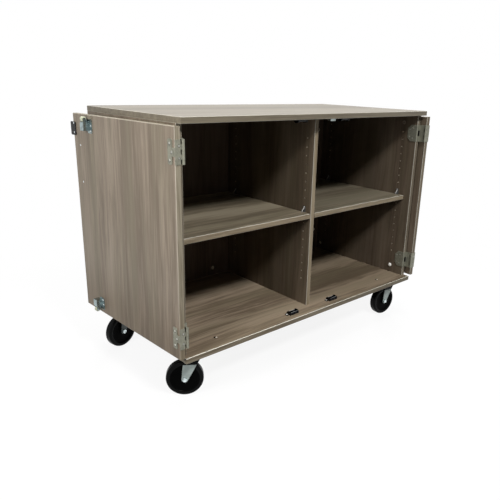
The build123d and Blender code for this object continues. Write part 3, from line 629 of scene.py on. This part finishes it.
class CART_OT_caps(Operator):
    """Make the round covers over the panel connectors and the two floor plugs"""
    bl_idname = "cart.caps"
    bl_label = "Connector caps"

    def execute(self, context):
        finishes = {"brown": plastic("cap_brown", (0.160, 0.128, 0.096), 0.5),
                    "grey": plastic("cap_grey_painted_light", (0.88, 0.82, 0.70), 0.4, 0.08, gloss=0.6),
                    "white": plastic("cap_white", (0.96, 0.95, 0.90), 0.3, 0.03, gloss=0.9),
                    "dark": plastic("cap_shade", (0.012, 0.010, 0.009), 0.7)}
        index = {name: number for number, name in enumerate(finishes)}
        bm = bmesh.new()
        for place, finish in self.cap_spots():
            rise = 3.0 if finish == "white" else 1.0
            centre = (1.4, 1.5 * rise)
            dome = ((8.2, 0), (8.2, 0.5), (7.6, 1.1 * rise), (5.6, 1.6 * rise), (1.9, 1.8 * rise), centre)
            # The dark disc at the bottom of the small pit in each cap's middle is painted shade
            for profile, colour in ((dome, finish), ((centre, (1.3, 0.4), (0, 0.4)), "dark")):
                first = len(bm.faces)
                lathe(bm, place, metres(*profile), 40)
                paint(bm, first, index[colour])
        made = piece("connector_cap_set", bm, "cabinet", finishes.values(), 40)
        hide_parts("connector_caps")
        self.make_plugs()
        return {"FINISHED"}

    def cap_spots(self):
        """Place and finish of each cap: on the bays' walls, then on the back.

        The grey caps at the rear are pale, painted light where they stand in shade.
        """
        inset, rear_inset, near, far, lower, upper = 34 * MM, 24 * MM, 95 * MM, 500 * MM, 125 * MM, 639 * MM
        rows = (FLOOR + inset, CEILING - inset)
        spots = []
        for x, way in ((-INNER_X, 1), (INNER_X, -1), (DIVIDER_X, 1)):
            for z in rows:
                for y, low_right in ((ROW_FRONT, "white"), (BACK_WALL - rear_inset, "grey")):
                    finish = low_right if x > DIVIDER_X and z == rows[0] else "brown"
                    spots.append((look_along((x, y, z), (way, 0, 0)), finish))
        back = [(x, z) for x in (-far, -near, near, far) for z in rows]
        back += [(x, z) for x in (inset - INNER_X, INNER_X - inset) for z in (BOTTOM + lower, BOTTOM + upper)]
        return spots + [(look_along((x, BACK_WALL, z), (0, -1, 0)), "grey") for x, z in back]

    def make_plugs(self):
        """Two bored fixings in the floor near the front: a dark well, painted shade for the bore, and a pale
        head standing in it off its middle, whose crescent is a painted highlight.
        """
        steel = plastic("plug_head_painted_glint", (0.85, 0.78, 0.66), 0.3, 0.1, gloss=0.8)
        dark = plastic("plug_shade", (0.004, 0.003, 0.003), 0.6, gloss=0.05)
        well = metres((6.4, 0), (6.2, 0.25), (5.6, 0.1), (0, 0.1))
        bm = bmesh.new()
        for x in (-450 * MM, 450 * MM):
            place = look_along((x, FRONT + 64 * MM, FLOOR), (0, 0, 1), (1, 0, 0))
            first = len(bm.faces)
            lathe(bm, place, well, 36)
            paint(bm, first, 1)
            # The head sits off the well's middle so that its pale crescent gives the painted highlight
            pan_head(bm, place @ Matrix.Translation((2.4 * MM, -2.4 * MM, 0.1 * MM)), 3.1 * MM, 1.5 * MM)
        piece("floor_plugs", bm, "cabinet", [steel, dark], 40)


class CART_OT_hinges(Operator):
    """Give the wrap hinges their satin steel and their screws"""
    bl_idname = "cart.hinges"
    bl_label = "Hinges"

    def execute(self, context):
        look = context.scene.cart_fittings
        steel = metal("hinge_satin", look.hinge, 0.5, 70.0, (1, 1, 0.05), 0.55)
        bright = metal("screw_bright", (0.60, 0.60, 0.53), 0.24, metallic=0.85)
        # The countersink colour is painted shade round the screw heads
        countersink_shade = metal("countersink", (0.09, 0.088, 0.075), 0.5, metallic=0.6)
        leaves = [f"{side}_{place}_{kind}_leaf" for side in HANDS for place in PLACES
                  for kind in ("case", "door")]
        coat(steel, *leaves, "hinge_pins")
        case = bmesh.new()
        for side in HANDS:
            door = bmesh.new()
            for place in PLACES:
                self.door_screws(door, side, middle_height(f"{side}_{place}_door_leaf"))
                self.case_screws(case, side, place)
            piece(f"{side}_hinge_screws", door, f"{side}_door", [bright, countersink_shade])
        piece("case_hinge_screws", case, "cabinet", [bright])
        self.make_slots()
        return {"FINISHED"}

    def door_screws(self, bm, side, height):
        """Screws of a door leaf, each ringed with painted shade for its countersink: three on the door's face
        and two on its edge.

        The leaves of a shut door lie 0.3 mm apart, so what stands between them is lower than that."""
        shadow_lean, shadow_drop, edge_reach, half_gap = 1.0, 1.2, 7 * MM, 0.15 * MM
        for along, dz, rise in ((24.5, 23.5, 1.2), (24.5, -23.5, 1.2), (15.5, 0, 0.24)):
            pan_head(bm, on_door(side, along * MM, DOOR_INNER + LEAF, height + dz * MM), 3.6 * MM, rise * MM)
            # Painted shadow: each face screw's dark ring sits a little along and below its head, so it shows
            # as a crescent
            sunk = on_door(side, (along + shadow_lean) * MM, DOOR_INNER + LEAF, height + (dz - shadow_drop) * MM)
            self.recess(bm, sunk, 4.7 * MM)
        pivot, direction, out = door_axes(side)
        edge = pivot + direction * half_gap + out * (DOOR_FACE + edge_reach)
        for dz in (17, -17):
            spot = look_along(edge + Vector((0, 0, height + dz * MM)), -direction)
            pan_head(bm, spot, 3.1 * MM, 0.2 * MM)
            self.recess(bm, spot, 4.4 * MM)

    def case_screws(self, bm, side, place):
        """Four screws on the wing of a case leaf, inside the case."""
        leaf = f"{side}_{place}_case_leaf"
        inner = high(leaf).x if side == "left" else low(leaf).x
        height = middle_height(f"{side}_{place}_door_leaf")
        for y, dz in ((60, 16), (60, -16), (45, 21), (45, -21)):
            spot = look_along((inner, FRONT + y * MM, height + dz * MM), (HANDS[side], 0, 0))
            pan_head(bm, spot, 3.0 * MM, 1.0 * MM)

    def recess(self, bm, place, radius):
        """Thin dark ring round a screw head: painted shade for the shadow in its countersink."""
        slope, rise = 0.2 * MM, 0.12 * MM
        first = len(bm.faces)
        lathe(bm, place, ((radius, 0), (radius - slope, rise), (0, rise)), 24)
        paint(bm, first, 1)

    def make_slots(self):
        """Painted shade: a dark pad in the slot where each case leaf crosses the side panel's front edge, for
        the shadow in the slot.
        """
        dark = plastic("slot_shade", (0.006, 0.005, 0.005), 0.7, gloss=0.05)
        half_wide, half_high, corner, steps = 5.6, 11.6, 2.4, 4
        outline = []
        for turn, (up, across) in enumerate(((1, 1), (-1, 1), (-1, -1), (1, -1))):
            for step in range(steps + 1):
                angle = math.pi / 2 * (turn + step / steps)
                outline.append((up * (half_high - corner) + corner * math.cos(angle),
                                across * (half_wide - corner) + corner * math.sin(angle)))
        bm = bmesh.new()
        for side, hand in HANDS.items():
            x = door_axes(side)[0].x + hand * 6.2 * MM
            for place in PLACES:
                middle = (x, low(f"{side}_side_panel").y, middle_height(f"{side}_{place}_case_leaf"))
                prism(bm, look_along(middle, (0, -1, 0)), metres(*outline), LEAF + 0.15 * MM)
        piece("hinge_slot_shades", bm, "cabinet", [dark])


class CART_OT_catches(Operator):
    """Finish the roller catches, strikes and lap plate, with their rollers and screws"""
    bl_idname = "cart.catches"
    bl_label = "Catches"

    def execute(self, context):
        look = context.scene.cart_fittings
        zinc = metal("catch_zinc", tinted(look.zinc, (1.05, 1.12, 1.16)), 0.22, 90.0, cloudy=0.42)
        black = plastic("strike_black", look.black, 0.17, 0.2, 90.0, 0.03, 0.14)
        parts = [f"{side}_{place}_catch_{kind}" for side in HANDS for place in PLACES
                 for kind in ("housing", "plunger")]
        coat(zinc, *parts)
        coat(black, "door_keeper_plate")
        self.make_screws()
        self.make_rollers(look)
        self.make_strikes(black)
        return {"FINISHED"}

    def make_screws(self):
        """Screws on the inner face of each door: of its catches, its pull and, on the left, the lap plate."""
        bright = metal("catch_screw", (0.80, 0.84, 0.84), 0.16)
        base, plate = 1.6 * MM, 3 * MM
        for side in HANDS:
            bm = bmesh.new()
            for place, way in PLACES.items():
                height = middle_height(f"{side}_{place}_catch_housing")
                for short, dz in ((25.5, 2), (23.5, -15)):
                    along = catch_along(side) - short * MM
                    spot = on_door(side, along, DOOR_INNER + base, height + way * dz * MM)
                    pan_head(bm, spot, 3.6 * MM, 1.5 * MM)
            for way in PLACES.values():
                spot = on_door(side, PULL_ALONG, DOOR_INNER, PULL_MIDDLE + way * PULL_SPAN / 2)
                pan_head(bm, spot, 3.3 * MM, 1.2 * MM)
            if side == "left":
                for z in (672.8, 704.6):
                    spot = on_door(side, 596.5 * MM, DOOR_INNER + plate, BOTTOM + z * MM)
                    pan_head(bm, spot, 3.2 * MM, 1.2 * MM)
            piece(f"{side}_door_screws", bm, f"{side}_door", [bright])

    def make_strikes(self, black):
        """Strikes under the top and on the floor: two round ribs between end cheeks, and a screw tab.

        The ribs' crests carry a painted highlight.
        """
        # The tab screws are real, but their pale matte colour is also a painted glint
        pale = plastic("strike_screw_painted_glint", (0.80, 0.79, 0.74), 0.3, 0.1, gloss=0.8)
        crest_highlight = plastic("strike_crest_painted_highlight", (0.42, 0.43, 0.44), 0.25, 0.5, 300.0, 0.05, 0.6)
        cheek_in, cheek_out, tab, front = 17.5 * MM, 22 * MM, 10 * MM, FRONT + 28 * MM
        crest, foot_high = 9.5, 2.6
        ribs = metres((0, 0), (22, 0), (22, 6.0), (20.8, 8.6), (19.4, crest), (17.4, crest), (16.0, 8.6),
                      (13.5, 6.5), (9.0, 6.5), (6.6, 8.8), (5.2, crest), (3.6, crest), (2.2, 8.6), (0, 4.0))
        cheek = metres((0, 0), (22, 0), (22, 7.5), (20.4, 11.0), (17.6, 12.8), (5.2, 12.8), (2.4, 11.2),
                       (0, 7.0))
        foot = metres((7.5, 0), (21.5, 0), (21.5, 1.6), (20.5, foot_high), (8.5, foot_high), (7.5, 1.6))
        bm = bmesh.new()
        screws = bmesh.new()
        for level, way in ((FLOOR, 1), (CEILING, -1)):
            for side, hand in HANDS.items():
                x = -hand * (abs(door_axes(side)[0].x) - catch_along(side))
                solids = ((ribs, x - cheek_in, 2 * cheek_in), (cheek, x - cheek_out, cheek_out - cheek_in),
                          (cheek, x + cheek_in, cheek_out - cheek_in), (foot, x - cheek_out - tab, tab))
                for outline, left, wide in solids:
                    section = Matrix(((0, 0, 1, left), (1, 0, 0, front), (0, way, 0, level), (0, 0, 0, 1)))
                    prism(bm, section, outline, wide)
                spot = (x - cheek_out - tab / 2, front + 14.5 * MM, level + way * foot_high * MM)
                pan_head(screws, look_along(spot, (0, 0, way), (1, 0, 0)), 3.4 * MM, 1.4 * MM)
        # Painted highlight: the crest faces of the ribs get a pale grey for the glint along them
        for face in bm.faces:
            height = face.calc_center_median().z
            if abs(min(abs(height - FLOOR), abs(height - CEILING)) - crest * MM) < 0.1 * MM:
                face.material_index = 1
        made = piece("catch_strike_set", bm, "cabinet", [black, crest_highlight], 50)
        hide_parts("catch_strikes")
        piece("strike_screws", screws, "cabinet", [pale])

    def make_rollers(self, look):
        """Nylon rollers with eased edges, and a dished ring in each end."""
        nylon = plastic("roller_nylon", look.nylon, 0.4, 0.06)
        half, radius, pin, edge, dish = 5.9, 8.95, 1.56, 1.1, 0.7
        end = [(pin, half), (3.4, half), (4.2, half - dish), (6.6, half - dish), (7.2, half),
               (radius - edge, half), (radius - 0.3 * edge, half - 0.3 * edge), (radius, half - edge)]
        profile = metres(*((r, -z) for r, z in end), *reversed(end))
        for side in HANDS:
            for place in PLACES:
                name = f"{side}_{place}_catch_roller"
                joint = JOINTS[f"{side}_{place}_roller_spin"]
                bm = bmesh.new()
                lathe(bm, look_along(joint["pos_m"], joint["axis"]), profile, 48, closed=True)
                made = piece(f"{side}_{place}_nylon_roller", bm, name, [nylon], 40)
                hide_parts(name)


class CART_OT_lock(Operator):
    """Finish the lock and its keeper"""
    bl_idname = "cart.lock"
    bl_label = "Lock"

    def execute(self, context):
        look = context.scene.cart_fittings
        coat(metal("lock_zinc", look.zinc, 0.3, 110.0), "lock_keeper", "lock_case", "lock_bolt")
        coat(metal("lock_nickel", look.nickel, 0.22), "lock_cylinder")
        middle = door_axes("right")[0].x - 45 * MM
        deep, half_wide, half_high = 17 * MM, 15 * MM, 20 * MM
        height = middle_height("lock_case")
        bm = bmesh.new()
        for across, up in ((1, 1), (-1, 1), (1, -1), (-1, -1)):
            spot = on_door("right", middle + across * half_wide, DOOR_INNER + deep, height + up * half_high)
            pan_head(bm, spot, 2.6 * MM, 1.0 * MM)
        piece("lock_screws", bm, "right_door", [metal("lock_screw", (0.75, 0.77, 0.75), 0.2)])
        return {"FINISHED"}


class CART_OT_pulls(Operator):
    """Make the round wire pulls"""
    bl_idname = "cart.pulls"
    bl_label = "Pulls"

    def execute(self, context):
        nickel = metal("pull_nickel", context.scene.cart_fittings.nickel, 0.28, 60.0, (1, 1, 0.1))
        reach, bend, wire, steps = 27.75 * MM, 13 * MM, 4 * MM, 10
        up = Vector((0, 0, 1))
        for side in HANDS:
            pivot, direction, out = door_axes(side)
            root = pivot + direction * PULL_ALONG + out * DOOR_FACE + up * PULL_MIDDLE
            points = [root - up * PULL_SPAN / 2]
            for corner, turn in ((-1, 0), (1, 1)):
                centre = root - out * (reach - bend) + up * corner * (PULL_SPAN / 2 - bend)
                for step in range(steps + 1):
                    angle = math.pi / 2 * (step / steps + turn)
                    points.append(centre - up * bend * math.cos(angle) - out * bend * math.sin(angle))
            points.append(root + up * PULL_SPAN / 2)
            bm = bmesh.new()
            tube(bm, points, wire)
            made = piece(f"{side}_wire_pull", bm, f"{side}_door", [nickel], 50)
            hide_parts(f"{side}_pull")
        return {"FINISHED"}


class CART_OT_casters(Operator):
    """Finish the casters and turn their wheels"""
    bl_idname = "cart.casters"
    bl_label = "Casters"

    def execute(self, context):
        look = context.scene.cart_fittings
        # The forks are painted near black above this height, as shade under the plate and the bottom panel
        fork = {"patch": 45.0, "metallic": 0.3, "painted_shade_height": 117 * MM}
        zinc = metal("caster_zinc", tinted(look.zinc, (0.95, 0.96, 0.94)), 0.38, **fork)
        # Darker copy of the forks' zinc for the rear left fork only: painted shade for its place under the
        # cart
        painted_shade_zinc = metal("caster_zinc_painted_shade", tinted(look.zinc, (0.20, 0.21, 0.21)), 0.42, **fork)
        bolt = metal("caster_bolt", (0.80, 0.90, 0.91), 0.16, 140.0, cloudy=0.55)
        tread = plastic("wheel_tread", look.tread, 0.24, 0.3, 60.0, gloss=0.07)
        disc = plastic("wheel_disc", tinted(look.tread, (0.4, 0.4, 0.4)), 0.3, 0.3, 60.0, 0.04, 0.02)
        # The caster plates are near black as painted shade under the bottom panel, in place of their zinc
        shade = metal("caster_plate_painted_shade", (0.02, 0.022, 0.022), 0.45)
        disc_edge = 50.5 * MM
        for spot in SPOTS:
            coat(painted_shade_zinc if spot == "rear_left" else zinc, f"{spot}_caster_fork")
            coat(shade, f"{spot}_caster_plate")
            coat(bolt, f"{spot}_caster_axle")
            joint = JOINTS[f"{spot}_wheel_spin"]
            place = look_along(joint["pos_m"], joint["axis"])
            bm = bmesh.new()
            lathe(bm, place, self.wheel_profile(), 96, closed=True)
            for face in bm.faces:
                centre = place.inverted() @ face.calc_center_median()
                if centre.xy.length < disc_edge:
                    face.material_index = 1
            made = piece(f"{spot}_wheel_body", bm, f"{spot}_wheel", [tread, disc], 32)
            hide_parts(f"{spot}_caster_wheel")
        coat(bolt, "caster_bolts")
        return {"FINISHED"}

    def wheel_profile(self):
        """Radius and offset round the wheel's section: hub, ribbed disc, rim and crowned tread."""
        half, radius, ease, steps = 15.1, 63.5, 7.0, 8
        shoulder = [(radius - ease + ease * math.sin(angle), half - ease + ease * math.cos(angle))
                    for angle in (math.pi / 2 * step / steps for step in range(steps + 1))]
        side = [(5.05, 16.7), (11.5, 16.7), (13.5, 15.6), (14.5, 11.0), (17.0, 10.1), (44.0, 10.1),
                (46.5, 10.8), (49.0, 12.6), (50.5, 14.4), (52.5, half), (radius - ease - 1.5, half)]
        outer = [*side, *shoulder, (radius, 4.0)]
        return metres(*outer, (radius, 0.0), *((r, -z) for r, z in reversed(outer)))


class CART_OT_studio(Operator):
    """Make the floor, the softboxes, the world and the camera"""
    bl_idname = "cart.studio"
    bl_label = "Studio"

    def execute(self, context):
        look = context.scene.cart_studio
        self.make_floor()
        self.make_world(context, look)
        middle = Vector((0, 0, 0.5))
        beside = Vector((low("left_door").x, -0.03, 0.68))
        self.softbox("key_light", middle, (-0.15, -0.70, 0.69), 4.6, 0.65, look.key)
        self.softbox("side_light", beside, (-1.0, -0.42, 0.34), 1.2, 0.6, look.side, mirrored=False)
        self.softbox("top_light", middle, (0.10, 0.05, 1.0), 4.2, 2.4, look.top)
        self.softbox("rear_light", middle, (0.74, 0.68, 0.14), 4.4, 1.6, look.rear, mirrored=False)
        self.make_camera(context)
        return {"FINISHED"}

    def softbox(self, name, target, direction, distance, size, level, mirrored=True):
        """Square light at a distance from a point, strong enough to light it to a level.

        One that isn't mirrored leaves no glare on edges that are seen at a flat angle."""
        lamp = bpy.data.lights.new(name, "AREA")
        lamp.shape = "SQUARE"
        lamp.size = size
        lamp.energy = level * math.pi ** 2 * distance ** 2
        made = bpy.data.objects.new(name, lamp)
        away = Vector(direction).normalized()
        made.matrix_world = look_along(target + away * distance, away)
        made.visible_glossy = mirrored
        bpy.context.scene.collection.objects.link(made)

    def make_floor(self):
        """Round floor, white to the camera and in reflections, with the cart's shadow near the middle."""
        material = bpy.data.materials.new("floor_white")
        made = Tree(material, bare=True)
        grey = made.add("ShaderNodeBsdfDiffuse", {"Color": (0.12, 0.12, 0.12, 1)}).outputs[0]
        pale = made.add("ShaderNodeBsdfDiffuse", {"Color": (0.9, 0.9, 0.9, 1)}).outputs[0]
        glow = made.add("ShaderNodeEmission", {"Strength": 1.0}).outputs[0]
        reach = made.vector("LENGTH", made.add("ShaderNodeTexCoord").outputs["Object"]).outputs["Value"]
        shown = made.choose(made.span(reach, 0.4, 1.7, 0.88, 1.0), pale, glow)
        surface = made.choose(made.rays("Camera", "Glossy"), grey, shown)
        made.add("ShaderNodeOutputMaterial", {"Surface": surface})
        bm = bmesh.new()
        lathe(bm, Matrix.Identity(4), [(radius, 0) for radius in (0, 0.8, 1.6, 2.4, 3.2, 6.0)], 64)
        place_mesh("floor", bm, [material])

    def make_world(self, context, look):
        """White surroundings for what the camera and reflections see, and a low even fill."""
        world = bpy.data.worlds.new("studio")
        made = Tree(world, bare=True)
        white = made.add("ShaderNodeBackground", {"Color": (1, 1, 1, 1), "Strength": 1.0}).outputs[0]
        fill = made.add("ShaderNodeBackground", {"Color": (1, 1, 1, 1), "Strength": look.fill}).outputs[0]
        surface = made.choose(made.rays("Camera", "Glossy", "Transmission"), fill, white)
        made.add("ShaderNodeOutputWorld", {"Surface": surface})
        context.scene.world = world

    def make_camera(self, context):
        """Camera at the photograph's place, tilted down and rolled a little, with the crop as a shift."""
        place = Vector((-1.4189, -1.5658, 1.0230))
        yaw, pitch, roll = math.radians(42.861), math.radians(-17.455), math.radians(1.783)
        picture, focal, crop_x, crop_y = 500.0, 527.7, 24.5, -2.3
        forward = Vector((math.sin(yaw) * math.cos(pitch), math.cos(yaw) * math.cos(pitch), math.sin(pitch)))
        level = Vector((math.cos(yaw), -math.sin(yaw), 0))
        up = level.cross(forward) * math.cos(roll) - level * math.sin(roll)
        data = bpy.data.cameras.new("photo_camera")
        data.sensor_width = 36.0
        data.lens = focal / picture * data.sensor_width
        data.shift_x = -crop_x / picture
        data.shift_y = crop_y / picture
        data.clip_end = 60.0
        turned = Matrix((forward.cross(up), up, -forward)).transposed().to_4x4()
        turned.translation = place
        made = bpy.data.objects.new("photo_camera", data)
        made.matrix_world = turned
        context.scene.collection.objects.link(made)
        context.scene.camera = made
        context.scene.view_settings.view_transform = "Standard"


class CART_PT_panel(Panel):
    """List of the cart's steps."""
    bl_idname = "CART_PT_panel"
    bl_label = "Tray Storage Cart"
    bl_space_type = "VIEW_3D"
    bl_region_type = "UI"
    bl_category = "Cart"

    def draw(self, context):
        for step in STEPS:
            self.layout.operator(step.bl_idname)
        for group in SETTINGS:
            settings = getattr(context.scene, group)
            box = self.layout.box()
            for name in settings.bl_rna.properties.keys():
                if name not in ("rna_type", "name"):
                    box.prop(settings, name)


STEPS = (CART_OT_boards, CART_OT_shelf_fittings, CART_OT_caps, CART_OT_hinges, CART_OT_catches, CART_OT_lock,
         CART_OT_pulls, CART_OT_casters, CART_OT_studio)
SETTINGS = {"cart_laminate": CartLaminateSettings, "cart_fittings": CartFittingSettings,
            "cart_studio": CartStudioSettings}


def register():
    """Register the settings, the operators and the panel."""
    for name, group in SETTINGS.items():
        bpy.utils.register_class(group)
        setattr(bpy.types.Scene, name, PointerProperty(type=group))
    for made in (*STEPS, CART_PT_panel):
        bpy.utils.register_class(made)


def unregister():
    """Take them away again."""
    for made in (CART_PT_panel, *reversed(STEPS)):
        bpy.utils.unregister_class(made)
    for name, group in SETTINGS.items():
        delattr(bpy.types.Scene, name)
        bpy.utils.unregister_class(group)


def main():
    """Run every step."""
    register()
    for step in STEPS:
        group, name = step.bl_idname.split(".")
        getattr(getattr(bpy.ops, group), name)()


if __name__ == "__main__":
    main()
